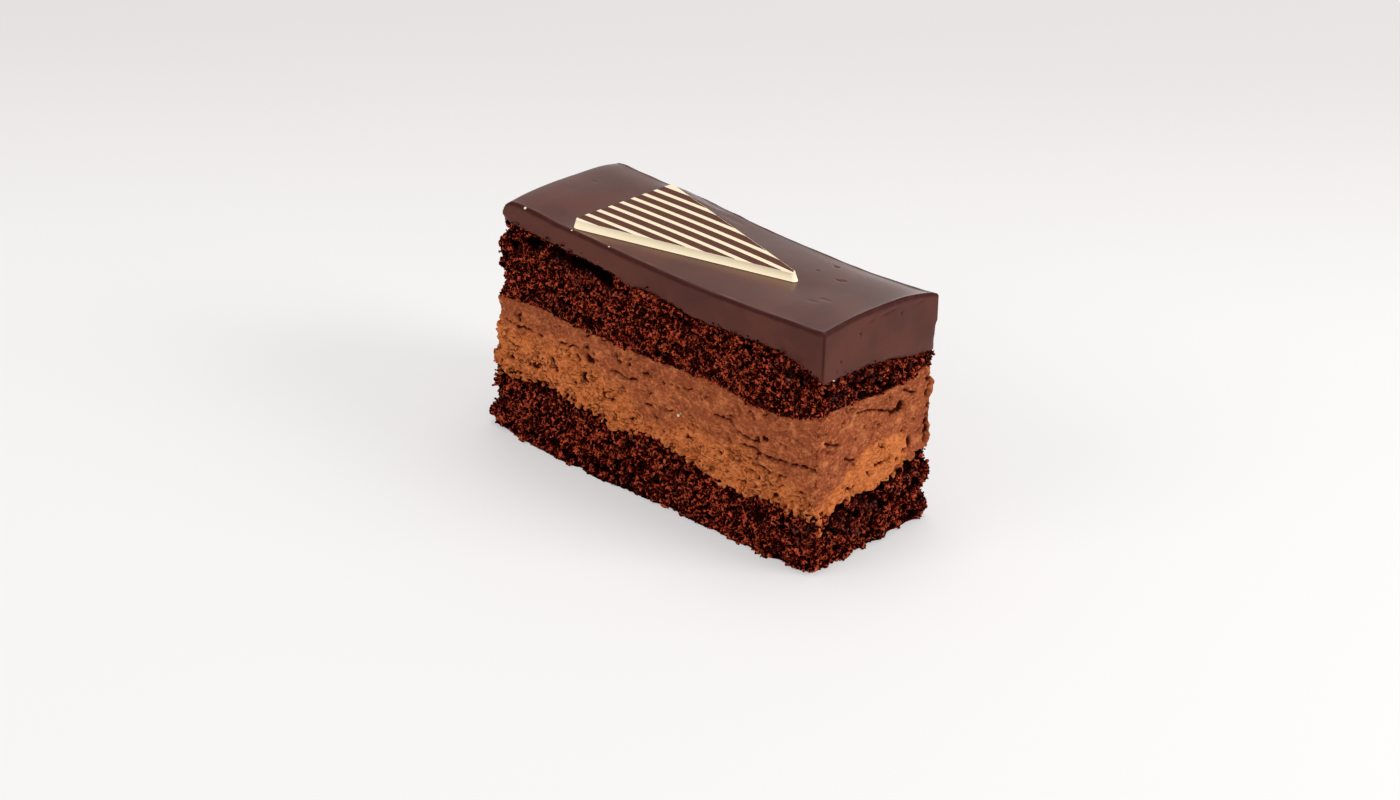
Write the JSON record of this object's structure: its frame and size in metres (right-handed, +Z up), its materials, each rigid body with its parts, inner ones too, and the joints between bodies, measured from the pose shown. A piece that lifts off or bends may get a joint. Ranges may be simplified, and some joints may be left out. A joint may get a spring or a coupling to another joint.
{
  "type": "slice of layer cake",
  "caption": "Bar-shaped slice of chocolate layer cake: sponge, mousse and sponge under a thick glaze, with a flat striped chocolate triangle on top.",
  "frame": {"origin": "centre of the slice's box at its underside, where it stands", "axes": "+X along the slice towards its open cut end, -Y out of the long cut side that shows the layers, +Z up"},
  "size_m": [0.1206, 0.05, 0.0727],
  "materials": {
    "sponge": "dark red-brown chocolate sponge, open crumb, moist",
    "mousse": "milk-brown mousse, smooth above and airy below, matt",
    "glaze": "dark chocolate glaze, satin",
    "white_chocolate": "white chocolate, satin, ivory",
    "dark_chocolate": "dark chocolate stripes, satin"
  },
  "bodies": {
    "root": {"sponge_bottom": "sponge", "mousse": "mousse", "sponge_top": "sponge", "glaze": "glaze", "chocolate_triangle": "white_chocolate"}
  },
  "joints": []
}
